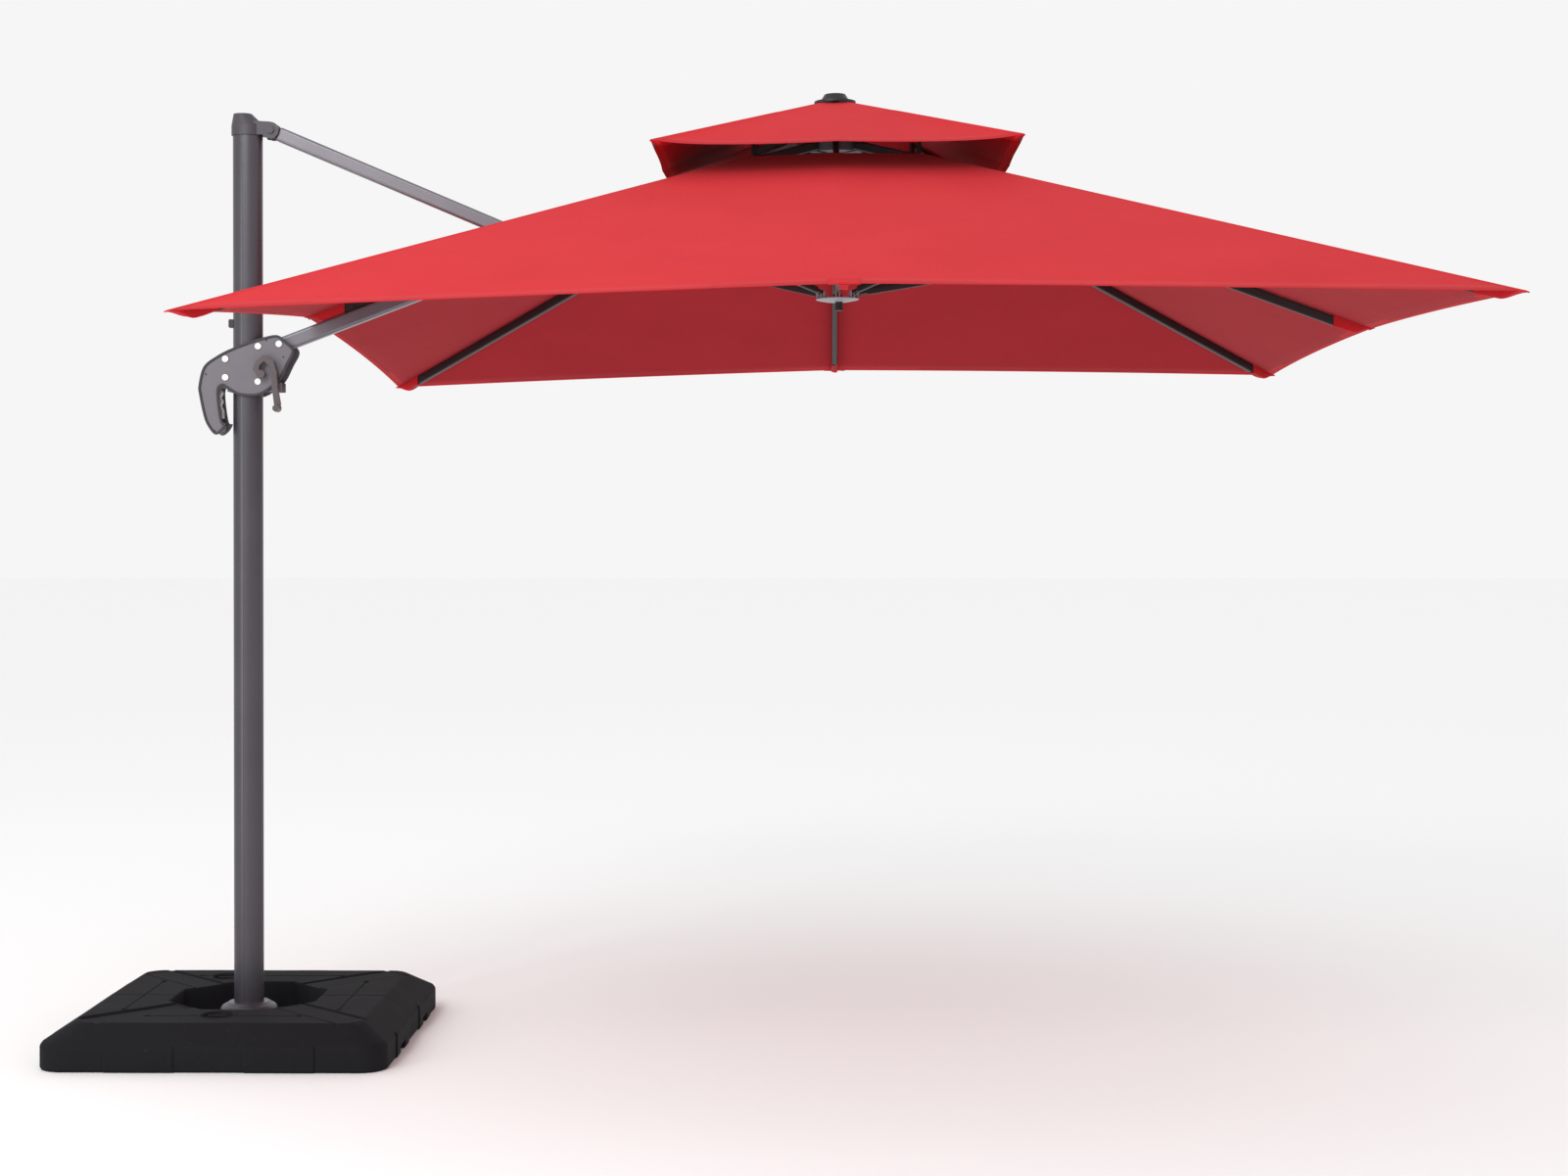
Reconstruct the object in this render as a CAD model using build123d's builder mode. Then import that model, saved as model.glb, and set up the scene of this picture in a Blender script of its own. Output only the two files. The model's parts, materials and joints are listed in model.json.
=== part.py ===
from build123d import *
from math import atan2, cos, degrees, hypot, radians, sin, tan
import os

os.makedirs("parts", exist_ok=True)

# Cantilever patio umbrella, in millimetres. The origin is the floor point under the mast,
# +X runs from the mast towards the canopy, +Z is up.

# Driving dimensions of the base
base_side = 940
base_height = 118
rim_height = 66
base_bevel = 82
base_corner = 70
well_flats = 410
half_gap = 0.5
strap_width = 96
# Mast
mast_depth = 84
mast_width = 62
mast_wall = 3
mast_bottom = 40
mast_top = 2551
cap_top = 2612
# Strut and boom linkage: three parallel hinge pins, two above each other on the mast line
pin_x = 70
strut_pin_z = 2563
boom_pin_z = 1960
strut_slope = 23.0
boom_slope = 20.8
strut_depth = 40
strut_width = 36
boom_depth = 42
boom_width = 36
tube_wall = 2
pin_radius = 5
hinge_r = 3
elbow_z = (strut_pin_z + boom_pin_z) / 2
elbow_x = pin_x + (strut_pin_z - elbow_z) / tan(radians(strut_slope))
# Canopy
canopy_side = 3000
hub_x = 1661
hub_z = 2553
canopy_tilt = 0.75
rib_pitch = 20.8
corner_pitch = 16.0
rib_depth = 26
rib_width = 16
rib_wall = 1.5
hub_pin_r = 60
rib_sink = 18
vent_opening = 470
vent_side = 980
vent_edge_w = -96
vent_corner_w = -88
fabric = 2
stretcher_at = 780
stretcher_drop = 24
stretcher_depth = 18
stretcher_width = 12
runner_pin_w = -450
runner_pin_r = 58

side_pitches = {0: rib_pitch, 90: rib_pitch, 270: rib_pitch}
corner_angles = [45, 135, 225, 315]
rib_names = {
    0: "outer",
    45: "outer_back",
    90: "back",
    135: "mast_back",
    225: "mast_front",
    270: "front",
    315: "outer_front",
}

t = radians(canopy_tilt)
hub_plane = Plane(
    origin=(hub_x, 0, hub_z), x_dir=(cos(t), 0, sin(t)), z_dir=(-sin(t), 0, cos(t))
)


def save(piece, name):
    """Label a finished piece and write it as its own STEP file."""
    piece.part.label = name
    export_step(piece.part, f"parts/{name}.step")


def side_plane(y):
    """Vertical plane at the given y, seen from the front: local x is +X, local y is +Z."""
    return Plane(origin=(0, y, 0), x_dir=(1, 0, 0), z_dir=(0, -1, 0))


def hub_point(x, y, w):
    """A point given in the tilted frame of the canopy hub."""
    return hub_plane.from_local_coords(Vector(x, y, w))


def radial_plane(angle):
    """Plane through the hub's axis: local x runs out along one rib, local y is up."""
    out = hub_plane.x_dir * cos(radians(angle)) + hub_plane.y_dir * sin(radians(angle))
    return Plane(origin=hub_plane.origin, x_dir=out, z_dir=out.cross(hub_plane.z_dir))


def hub_level(w):
    """Plane across the hub's axis at height w in the hub's frame."""
    return hub_plane.offset(w)


def pitch_of(angle):
    return corner_pitch if angle in corner_angles else rib_pitch


def rib_line(angle, r):
    """Height of a rib's centreline in the hub's frame, at radius r."""
    return -r * tan(radians(pitch_of(angle))) - rib_sink


def boom_line(x):
    """Height of the boom's centreline at x."""
    return hub_z - (hub_x - x) * tan(radians(boom_slope))


def box_tube(plane, length, depth, width, wall, radius):
    """Rectangular tube: the plane's x is its depth, y its width and z its length."""
    with BuildPart(mode=Mode.PRIVATE) as tube:
        with BuildSketch(plane):
            RectangleRounded(depth, width, radius)
            RectangleRounded(depth - 2 * wall, width - 2 * wall, radius - wall / 2,
                             mode=Mode.SUBTRACT)
        extrude(amount=length)
    return tube.part


def across(x, y, z, radius, width, mode=Mode.ADD):
    """Round bar or hole along Y, as far to both sides of the point."""
    with BuildSketch(Plane(origin=(x, y, z), x_dir=(1, 0, 0), z_dir=(0, -1, 0))) as disc:
        Circle(radius)
    extrude(disc.sketch, amount=width / 2, both=True, mode=mode)


# ---------------------------------------------------------------- base tanks
def base_blank():
    """The whole base: upright rim, bevelled shoulder and eight-sided well."""
    with BuildPart() as blank:
        with BuildSketch():
            RectangleRounded(base_side, base_side, base_corner)
        extrude(amount=rim_height)
        with BuildSketch(Plane.XY.offset(rim_height)):
            RectangleRounded(base_side, base_side, base_corner)
        with BuildSketch(Plane.XY.offset(base_height)):
            RectangleRounded(base_side - 2 * base_bevel, base_side - 2 * base_bevel,
                             base_corner - 20)
        loft()
        with BuildSketch():
            RegularPolygon(well_flats / 2, 8, major_radius=False, rotation=22.5)
        extrude(amount=base_height, mode=Mode.SUBTRACT)
    return blank.part


well_corner = well_flats / 2 + 14
strap_end = base_side / 2 - base_bevel - 16
groove = 7
panel_joints = [-282, -94, 94, 282]
cap_radius = 34
front_cap_x = -20
back_cap_x = -130
cap_y = 282

blank = base_blank()
for side, name in ((-1, "base_tank_front"), (1, "base_tank_back")):
    with BuildPart() as tank:
        add(blank)
        # Two grooves beside each diagonal strap
        for angle in (45, 135, 225, 315):
            length = (strap_end - well_corner + 90) * 2**0.5
            middle = (strap_end + well_corner) / 2 * 2**0.5 - 30
            with BuildSketch(Plane.XY.offset(base_height - 5)):
                with PolarLocations(middle, 1, start_angle=angle):
                    with GridLocations(1, strap_width, 1, 2):
                        Rectangle(length - 200, groove)
            extrude(amount=base_height, mode=Mode.SUBTRACT)
        # Joint lines of the rim panels
        with BuildSketch():
            with GridLocations(0, base_side, 1, 2):
                with GridLocations(188, 1, 4, 1):
                    Rectangle(3, 6)
            with GridLocations(base_side, 0, 2, 1):
                with GridLocations(1, 188, 1, 4):
                    Rectangle(6, 3)
        extrude(amount=rim_height + 2, mode=Mode.SUBTRACT)
        # Hand holds under the two side rims
        with BuildSketch():
            with GridLocations(base_side, 376, 2, 2):
                Rectangle(50, 70)
        extrude(amount=24, mode=Mode.SUBTRACT)
        # Wells of the filler caps
        with BuildSketch(Plane.XY.offset(base_height - 14)):
            with Locations((front_cap_x, -cap_y), (back_cap_x, cap_y)):
                Circle(cap_radius + 6)
        extrude(amount=base_height, mode=Mode.SUBTRACT)
        with BuildSketch():
            with Locations((0, -side * base_side / 2)):
                Rectangle(base_side + 2, base_side + 2 * half_gap)
        extrude(amount=base_height + 1, mode=Mode.SUBTRACT)
    save(tank, name)

cap_floor = base_height - 14
with BuildPart() as fill_caps:
    with BuildSketch(Plane.XY.offset(cap_floor)):
        with Locations((front_cap_x, -cap_y), (back_cap_x, cap_y)):
            Circle(cap_radius)
    extrude(amount=7)
    with BuildSketch(Plane.XY.offset(cap_floor + 7)):
        with Locations((front_cap_x, -cap_y), (back_cap_x, cap_y)):
            SlotOverall(2 * cap_radius - 14, 12)
    extrude(amount=6)
save(fill_caps, "fill_caps")

# ---------------------------------------------------------------- steel foot
frame_bar = 50
frame_height = 26
flange_thick = 10
flange_side = 190
frame_half = well_flats / 2 - 2
with BuildPart() as cross_frame:
    with BuildSketch():
        Rectangle(2 * frame_half, frame_bar)
        Rectangle(frame_bar, 2 * frame_half)
    extrude(amount=frame_height)
save(cross_frame, "cross_frame")

bolt_pitch = 168
socket_radius = 24
with BuildPart() as socket_flange:
    with BuildSketch(Plane.XY.offset(frame_height)):
        RectangleRounded(flange_side, flange_side, 14)
    extrude(amount=flange_thick)
    with BuildSketch(Plane.XY.offset(frame_height + flange_thick)):
        Circle(socket_radius)
    extrude(amount=220)
    with BuildSketch(Plane.XY.offset(frame_height)):
        with Locations((0, bolt_pitch / 2), (0, -bolt_pitch / 2),
                       (bolt_pitch / 2, 0), (-bolt_pitch / 2, 0)):
            Circle(4.5)
    extrude(amount=flange_thick, mode=Mode.SUBTRACT)
save(socket_flange, "socket_flange")

flange_top = frame_height + flange_thick
with BuildPart() as flange_bolts:
    with BuildSketch(Plane.XY.offset(flange_top)):
        with Locations((0, bolt_pitch / 2), (0, -bolt_pitch / 2),
                       (bolt_pitch / 2, 0), (-bolt_pitch / 2, 0)):
            RegularPolygon(7, 6)
    extrude(amount=6)
    with BuildSketch(Plane.XY.offset(frame_height)):
        with Locations((0, bolt_pitch / 2), (0, -bolt_pitch / 2),
                       (bolt_pitch / 2, 0), (-bolt_pitch / 2, 0)):
            Circle(4)
    extrude(amount=flange_thick)
save(flange_bolts, "flange_bolts")

# Foot lever that frees the mast to turn: a blade on a cross pin in front of the collar
pedal_y = -112
pedal_z = flange_top + 20
with BuildPart() as foot_pedal:
    with BuildSketch(Plane.YZ):
        with BuildLine():
            Polyline((pedal_y + 14, pedal_z - 7), (pedal_y + 14, pedal_z + 7),
                     (pedal_y - 26, pedal_z + 22), (pedal_y - 64, pedal_z + 25),
                     (pedal_y - 66, pedal_z + 18), (pedal_y - 26, pedal_z + 12),
                     (pedal_y - 10, pedal_z - 7), close=True)
        make_face()
    extrude(amount=26, both=True)
    with BuildSketch(Plane.YZ):
        with Locations((pedal_y, pedal_z)):
            Circle(4.05)
    extrude(amount=30, both=True, mode=Mode.SUBTRACT)
save(foot_pedal, "foot_pedal")

with BuildPart() as pedal_bracket:
    for x in (-36, 28):
        with BuildSketch(Plane.YZ.offset(x)):
            with Locations((pedal_y, (frame_height + pedal_z + 8) / 2)):
                Rectangle(26, pedal_z + 8 - frame_height)
        extrude(amount=8)
    with BuildSketch(Plane.XY.offset(frame_height)):
        with Locations((0, pedal_y)):
            Rectangle(72, 26)
    extrude(amount=8)
    with BuildSketch(Plane.YZ):
        with Locations((pedal_y, pedal_z)):
            Circle(4)
    extrude(amount=36, both=True)
save(pedal_bracket, "pedal_bracket")

# ---------------------------------------------------------------- mast
collar_top = 102
with BuildPart() as mast_foot_collar:
    with BuildSketch(Plane.XZ):
        with BuildLine():
            Polyline((socket_radius + 0.5, mast_bottom - 3), (70, mast_bottom - 3),
                     (76, mast_bottom + 18))
            ThreePointArc((76, mast_bottom + 18), (82, 78), (66, collar_top - 6))
            Polyline((66, collar_top - 6), (56, collar_top),
                     (socket_radius + 0.5, collar_top),
                     (socket_radius + 0.5, mast_bottom - 3))
        make_face()
    revolve(axis=Axis.Z)
    with BuildSketch(Plane.XY.offset(mast_bottom + 6)):
        Ellipse(mast_depth / 2 + 0.2, mast_width / 2 + 0.2)
    extrude(amount=collar_top, mode=Mode.SUBTRACT)
save(mast_foot_collar, "mast_foot_collar")

mast_start = mast_bottom + 6
with BuildPart() as mast_tube:
    with BuildSketch(Plane.XY.offset(mast_start)):
        Ellipse(mast_depth / 2, mast_width / 2)
        Ellipse(mast_depth / 2 - mast_wall, mast_width / 2 - mast_wall, mode=Mode.SUBTRACT)
        with Locations((-8, mast_width / 2), (-8, -mast_width / 2)):
            Rectangle(3, 3, mode=Mode.SUBTRACT)
    extrude(amount=mast_top - mast_start)
save(mast_tube, "mast_tube")

# Sleeve that turns on the steel post inside the mast's foot
with BuildPart() as swivel_sleeve:
    with BuildSketch(Plane.XY.offset(collar_top + 2)):
        Circle(mast_width / 2 - mast_wall - 1)
        Circle(socket_radius + 0.05, mode=Mode.SUBTRACT)
    extrude(amount=140)
save(swivel_sleeve, "swivel_sleeve")

rack_x = -mast_depth / 2
with BuildPart() as stop_lug:
    with BuildSketch(side_plane(0)):
        with Locations((rack_x - 5, 2020)):
            RectangleRounded(14, 24, 4)
    extrude(amount=8, both=True)
    with BuildSketch(Plane.XY.offset(2000)):
        Ellipse(mast_depth / 2, mast_width / 2)
    extrude(amount=60, mode=Mode.SUBTRACT)
save(stop_lug, "stop_lug")

cheek_in = strut_width / 2 + 1
cheek_out = cheek_in + 7
with BuildPart() as mast_cap:
    with BuildSketch(Plane.XY.offset(mast_top)):
        Ellipse(mast_depth / 2 + 4, mast_width / 2 + 4)
    extrude(amount=28)
    with BuildSketch(Plane.XY.offset(mast_top + 28)):
        Ellipse(mast_depth / 2 + 4, mast_width / 2 + 4)
    with BuildSketch(Plane.XY.offset(cap_top)):
        with Locations((-14, 0)):
            Ellipse(mast_depth / 2 - 16, mast_width / 2 - 8)
    loft()
    for y in (-cheek_out, cheek_in):
        with BuildSketch(Plane(origin=(0, y, 0), x_dir=(1, 0, 0), z_dir=(0, -1, 0))):
            with BuildLine():
                Polyline((20, mast_top), (48, mast_top), (52, 2543), (pin_x, 2541),
                         (pin_x, 2587), (20, 2590), close=True)
            make_face()
            with Locations((pin_x, strut_pin_z)):
                Circle(23)
            with Locations((pin_x, strut_pin_z)):
                Circle(pin_radius, mode=Mode.SUBTRACT)
        extrude(amount=-7)
    # Spigot inside the mast
    with BuildSketch(Plane.XY.offset(mast_top - 60)):
        Ellipse(mast_depth / 2 - mast_wall - 0.3, mast_width / 2 - mast_wall - 0.3)
    extrude(amount=60)
save(mast_cap, "mast_cap")

with BuildPart() as strut_pivot_bolt:
    across(pin_x, 0, strut_pin_z, pin_radius, 2 * cheek_out)
    for y in (-cheek_out - 5, cheek_out):
        with BuildSketch(Plane(origin=(pin_x, y, strut_pin_z), x_dir=(1, 0, 0),
                               z_dir=(0, 1, 0))):
            RegularPolygon(10, 6)
        extrude(amount=5)
save(strut_pivot_bolt, "strut_pivot_bolt")

# ---------------------------------------------------------------- strut
strut_length = hypot(elbow_x - pin_x, strut_pin_z - elbow_z)
s_dir = Vector(cos(radians(strut_slope)), 0, -sin(radians(strut_slope)))
s_start = Vector(pin_x, 0, strut_pin_z)
strut_first = 24
strut_last = strut_length - 62


def along_strut(distance):
    """Plane square to the strut: x is its depth and y its width."""
    return Plane(origin=s_start + s_dir * distance, x_dir=(s_dir.Z, 0, -s_dir.X),
                 z_dir=s_dir)


with BuildPart() as strut_tube:
    add(box_tube(along_strut(strut_first), strut_last - strut_first, strut_depth,
                 strut_width, tube_wall, 8))
save(strut_tube, "strut_tube")

plug = strut_depth - 2 * tube_wall - 0.4
plug_w = strut_width - 2 * tube_wall - 0.4
eye_half = plug_w / 2 - 2.5
fork_in = 27.5
fork_thick = 5
strut_side = Plane(origin=s_start, x_dir=s_dir, z_dir=(0, -1, 0))
with BuildPart() as strut_top_eye:
    with BuildSketch(strut_side):
        Circle(17)
        with Locations((strut_first + 20, 0)):
            Rectangle(60, 30)
        Circle(pin_radius + 0.05, mode=Mode.SUBTRACT)
    extrude(amount=eye_half, both=True)
save(strut_top_eye, "strut_top_eye")

with BuildPart() as strut_fork:
    # Plug in the tube's end
    with BuildSketch(along_strut(strut_last - 30)):
        RectangleRounded(plug, plug_w, 7.5)
    extrude(amount=30)
    with BuildSketch(along_strut(strut_last)):
        RectangleRounded(strut_depth, 2 * (fork_in + fork_thick), 6)
    extrude(amount=12)
    for y in (fork_in + fork_thick / 2, -fork_in - fork_thick / 2):
        with BuildSketch(strut_side.offset(y)):
            with Locations((strut_length - 28, 0)):
                Rectangle(56, 30)
            with Locations((strut_length, 0)):
                Circle(15)
                Circle(pin_radius, mode=Mode.SUBTRACT)
        extrude(amount=fork_thick / 2, both=True)
save(strut_fork, "strut_fork")

# ---------------------------------------------------------------- boom
b_dir = Vector(cos(radians(boom_slope)), 0, sin(radians(boom_slope)))
b_up = Vector(-sin(radians(boom_slope)), 0, cos(radians(boom_slope)))
b_start = Vector(pin_x, 0, boom_line(pin_x))
boom_length = (hub_x - pin_x) / cos(radians(boom_slope))
boom_first = 30
boom_last = boom_length - 112


def along_boom(distance):
    return Plane(origin=b_start + b_dir * distance, x_dir=b_up, z_dir=b_dir)


with BuildPart() as boom_tube:
    add(box_tube(along_boom(boom_first), boom_last - boom_first, boom_depth, boom_width,
                 tube_wall, 8))
save(boom_tube, "boom_tube")

boom_side = Plane(origin=b_start, x_dir=b_dir, z_dir=(0, -1, 0))
root_pin = boom_side.to_local_coords(Vector(pin_x, 0, boom_pin_z))
elbow_pin = boom_side.to_local_coords(Vector(elbow_x, 0, elbow_z))
with BuildPart() as boom_root_plug:
    with BuildSketch(boom_side):
        with Locations((22, 0)):
            Rectangle(70, 30)
        with Locations((root_pin.X, root_pin.Y)):
            Circle(15)
        with Locations((root_pin.X, root_pin.Y)):
            Circle(pin_radius + 0.05, mode=Mode.SUBTRACT)
    extrude(amount=eye_half, both=True)
save(boom_root_plug, "boom_root_plug")

# The rib on the boom's side lies along the top of the boom
rest_gap = 0.2
boom_rib_depth = 22
rib_mid = boom_depth / 2 + rest_gap + boom_rib_depth / 2
rib_start = 130
rib_stop = (hub_x - canopy_side / 2 - pin_x + 74) / cos(radians(boom_slope))
with BuildPart() as boom_side_rib:
    lane = Plane(origin=b_start + b_up * rib_mid + b_dir * rib_stop, x_dir=b_up, z_dir=b_dir)
    add(box_tube(lane, boom_length - rib_start - rib_stop, boom_rib_depth, rib_width,
                 rib_wall, 4))
    across(elbow_x, 0, elbow_z, pin_radius + 0.5, 40, Mode.SUBTRACT)
save(boom_side_rib, "boom_side_rib")

clip_wall = 2
with BuildPart() as rib_straps:
    for place in (rib_stop + 60, 380, 1180, 1500):
        with BuildSketch(along_boom(place)):
            with Locations((rib_mid + clip_wall / 2, 0)):
                Rectangle(boom_rib_depth + clip_wall, rib_width + 2 * clip_wall + 0.4)
            with Locations((rib_mid - 0.1, 0)):
                Rectangle(boom_rib_depth + 0.4, rib_width + 0.4, mode=Mode.SUBTRACT)
        extrude(amount=24)
save(rib_straps, "rib_straps")

with BuildPart() as elbow_bracket:
    # Saddle round the boom, with two ears that hold the elbow pin
    for side in (1, -1):
        y = side * (boom_width / 2 + 2.7)
        with BuildSketch(boom_side.offset(-y)):
            with Locations((elbow_pin.X, 0)):
                Rectangle(110, boom_depth + 4)
            with BuildLine():
                Polyline((elbow_pin.X - 40, boom_depth / 2), (elbow_pin.X + 40, boom_depth / 2),
                         (elbow_pin.X + 15, elbow_pin.Y + 6),
                         (elbow_pin.X - 15, elbow_pin.Y + 6), close=True)
            make_face()
            with Locations((elbow_pin.X, elbow_pin.Y)):
                Circle(15)
            with Locations((elbow_pin.X, elbow_pin.Y)):
                Circle(pin_radius + 0.05, mode=Mode.SUBTRACT)
        extrude(amount=2.5, both=True)
    with BuildSketch(boom_side):
        with Locations((elbow_pin.X, -boom_depth / 2 - 2.2)):
            Rectangle(110, 4)
    extrude(amount=boom_width / 2 + 5.2, both=True)
save(elbow_bracket, "elbow_bracket")

with BuildPart() as elbow_pin_bolt:
    across(elbow_x, 0, elbow_z, pin_radius, 2 * (fork_in + fork_thick) + 2)
    for y in (-fork_in - fork_thick - 6, fork_in + fork_thick + 1):
        with BuildSketch(Plane(origin=(elbow_x, y, elbow_z), x_dir=(1, 0, 0),
                               z_dir=(0, 1, 0))):
            RegularPolygon(9, 6)
        extrude(amount=5)
save(elbow_pin_bolt, "elbow_pin_bolt")

# Tip tongue in the slot of the crown
tip_width = 28
with BuildPart() as boom_tip:
    with BuildSketch(boom_side):
        with Locations((boom_length - 78, 0)):
            Rectangle(120, 32)
        with Locations((boom_length, 0)):
            Circle(16)
        with Locations((boom_length - 30, 0)):
            Rectangle(60, 32)
        with Locations((boom_length, 0)):
            Circle(6.05, mode=Mode.SUBTRACT)
    extrude(amount=tip_width / 2, both=True)
save(boom_tip, "boom_tip")

# ---------------------------------------------------------------- slider housing
shell_in = 32
shell_out = 38
crank_x = 49
crank_z = 1874
crank_radius = 5
house_points = [(-39.5, 1947), (10, 1966), (42, 1976), (88, 1985), (112, 1970), (138, 1941),
                (120, 1900), (99, 1859), (72, 1834), (42, 1816), (12, 1812), (-20, 1816),
                (-41, 1827), (-58, 1838), (-66, 1841), (-74, 1830), (-72, 1790), (-64, 1742),
                (-53, 1736), (-66, 1714), (-85, 1705), (-104, 1726), (-117, 1756),
                (-130, 1817), (-131.5, 1845), (-117, 1897), (-79, 1927)]
cap_spots = [(36.6, 1953.5), (95.4, 1960), (-56, 1918), (-56, 1866), (36, 1854)]
screw_spots = [(60, 1970), (108, 1923), (-111, 1875), (-123, 1794), (-87, 1715)]

with BuildSketch(mode=Mode.PRIVATE) as housing_outline:
    with BuildLine():
        Polyline(*house_points, close=True)
    make_face()

for side, name in ((-1, "slider_shell_front"), (1, "slider_shell_back")):
    with BuildPart() as shell:
        with BuildSketch(side_plane(side * shell_in)):
            add(housing_outline.sketch)
        extrude(amount=-side * (shell_out - shell_in))
        with BuildSketch(side_plane(side * (shell_out - 2))):
            add(housing_outline.sketch)
            offset(amount=-5, kind=Kind.INTERSECTION, mode=Mode.REPLACE)
        extrude(amount=-side * 3, mode=Mode.SUBTRACT)
        with BuildSketch(side_plane(side * (shell_in - 1))):
            with Locations(*screw_spots):
                Circle(2.5)
            with Locations(*cap_spots):
                Circle(6)
        extrude(amount=-side * 20, mode=Mode.SUBTRACT)
        # Holes for the main pins and for the crank shaft
        with BuildSketch(side_plane(side * (shell_in - 1))):
            with Locations((pin_x, boom_pin_z)):
                Circle(pin_radius)
            with Locations((crank_x, crank_z)):
                Circle(crank_radius + 0.05)
        extrude(amount=-side * 20, mode=Mode.SUBTRACT)
    save(shell, name)

carriage_gap = 0.6
with BuildPart() as slider_carriage:
    with BuildSketch(Plane.XY.offset(1826)):
        with BuildLine():
            Polyline((-52, -shell_in + 0.4), (100, -shell_in + 0.4), (100, shell_in - 0.4),
                     (-52, shell_in - 0.4), close=True)
        make_face()
        Ellipse(mast_depth / 2 + carriage_gap, mast_width / 2 + carriage_gap,
                mode=Mode.SUBTRACT)
        with Locations((74, 0)):
            Rectangle(54, 40, mode=Mode.SUBTRACT)
    extrude(amount=26)
    with BuildSketch(Plane.XY.offset(1930)):
        Rectangle(104, 2 * shell_in - 0.8)
        Ellipse(mast_depth / 2 + carriage_gap, mast_width / 2 + carriage_gap,
                mode=Mode.SUBTRACT)
    extrude(amount=14)
save(slider_carriage, "slider_carriage")

roller_spots = [(-56, 1918), (-56, 1866)]
lever_pin = (-92, 1852)
with BuildPart() as slider_pins:
    across(pin_x, 0, boom_pin_z, pin_radius, 2 * shell_out - 4)
    for x, z in (*roller_spots, lever_pin):
        across(x, 0, z, hinge_r, 2 * shell_in - 0.6)
save(slider_pins, "slider_pins")

with BuildPart() as guide_rollers:
    for x, z in roller_spots:
        across(x, 0, z, 12, 28)
        across(x, 0, z, hinge_r, 40, Mode.SUBTRACT)
save(guide_rollers, "guide_rollers")

with BuildPart() as shell_fasteners:
    for side in (-1, 1):
        with BuildSketch(side_plane(side * shell_out)):
            with Locations(*cap_spots):
                Circle(9)
        extrude(amount=-side * 2)
        with BuildSketch(side_plane(side * (shell_out - 3))):
            with Locations(*cap_spots):
                Circle(6)
        extrude(amount=-side * 3)
        with BuildSketch(side_plane(side * shell_in)):
            with Locations(*screw_spots):
                Circle(2.4)
        extrude(amount=-side * 3)
save(shell_fasteners, "shell_fasteners")

# Spacer blocks that join the two shells round the hand grip
with BuildPart() as grip_core:
    with BuildSketch(side_plane(0)):
        with BuildLine():
            Polyline((-128, 1842), (-126, 1817), (-114, 1758), (-86, 1711), (-70, 1716),
                     (-66, 1730), (-84, 1744), (-97, 1772), (-112, 1810), (-115, 1842),
                     close=True)
        make_face()
    extrude(amount=shell_in - 0.3, both=True)
save(grip_core, "grip_core")

with BuildPart() as release_lever:
    with BuildSketch(side_plane(0)):
        with BuildLine():
            Polyline((-100, 1862), (-84, 1862), (-78, 1836), (-72, 1824), (-78, 1812),
                     (-72, 1800), (-77, 1788), (-71, 1776), (-70, 1752), (-75, 1750),
                     (-80, 1780), (-93, 1812), (-99, 1840), close=True)
        make_face()
        with Locations(lever_pin):
            Circle(3.05, mode=Mode.SUBTRACT)
    extrude(amount=13, both=True)
save(release_lever, "release_lever")

with BuildPart() as lock_pawl:
    with BuildSketch(side_plane(0)):
        with BuildLine():
            Polyline((-83, 1837), (-54, 1838), (-54, 1843), (-62, 1848), (-85, 1847),
                     close=True)
        make_face()
    extrude(amount=6, both=True)
    with BuildSketch(side_plane(0)):
        with BuildLine():
            Polyline((-100, 1862), (-84, 1862), (-78, 1836), (-99, 1836), close=True)
        make_face()
    extrude(amount=13, both=True, mode=Mode.SUBTRACT)
save(lock_pawl, "lock_pawl")

# ---------------------------------------------------------------- crank and winding drum
arm_y = -54
with BuildPart() as crank_shaft:
    across(crank_x, -8, crank_z, crank_radius, 92)
save(crank_shaft, "crank_shaft")

# Rope drum between the front shell and the mast's rounded side
with BuildPart() as rope_drum:
    for y, radius, width in ((-30, 14, 1.6), (-26.2, 10, 6), (-22.4, 14, 1.6)):
        across(crank_x, y, crank_z, radius, width)
    across(crank_x, -26, crank_z, crank_radius, 30, Mode.SUBTRACT)
save(rope_drum, "rope_drum")

with BuildPart() as crank_arm:
    with BuildSketch(side_plane(arm_y)):
        with BuildLine():
            Polyline((38, 1868), (26, 1888), (34, 1908), (56, 1928), (84, 1912), (94, 1880),
                     (95, 1842), (104, 1790), (103, 1772), (91, 1770), (86, 1790),
                     (80, 1838), (79, 1874), (74, 1896), (58, 1910), (46, 1900),
                     (43, 1888), (54, 1880), (54, 1868), close=True)
        make_face()
    extrude(amount=6, both=True)
    across(crank_x, arm_y, crank_z, 11, 12)
    across(crank_x, arm_y + 6, crank_z, crank_radius, 12, Mode.SUBTRACT)
save(crank_arm, "crank_arm")

with BuildPart() as crank_knob:
    with BuildSketch(side_plane(arm_y - 6.4)):
        with Locations((97, 1777)):
            Circle(11)
    extrude(amount=26, taper=3)
save(crank_knob, "crank_knob")

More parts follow.
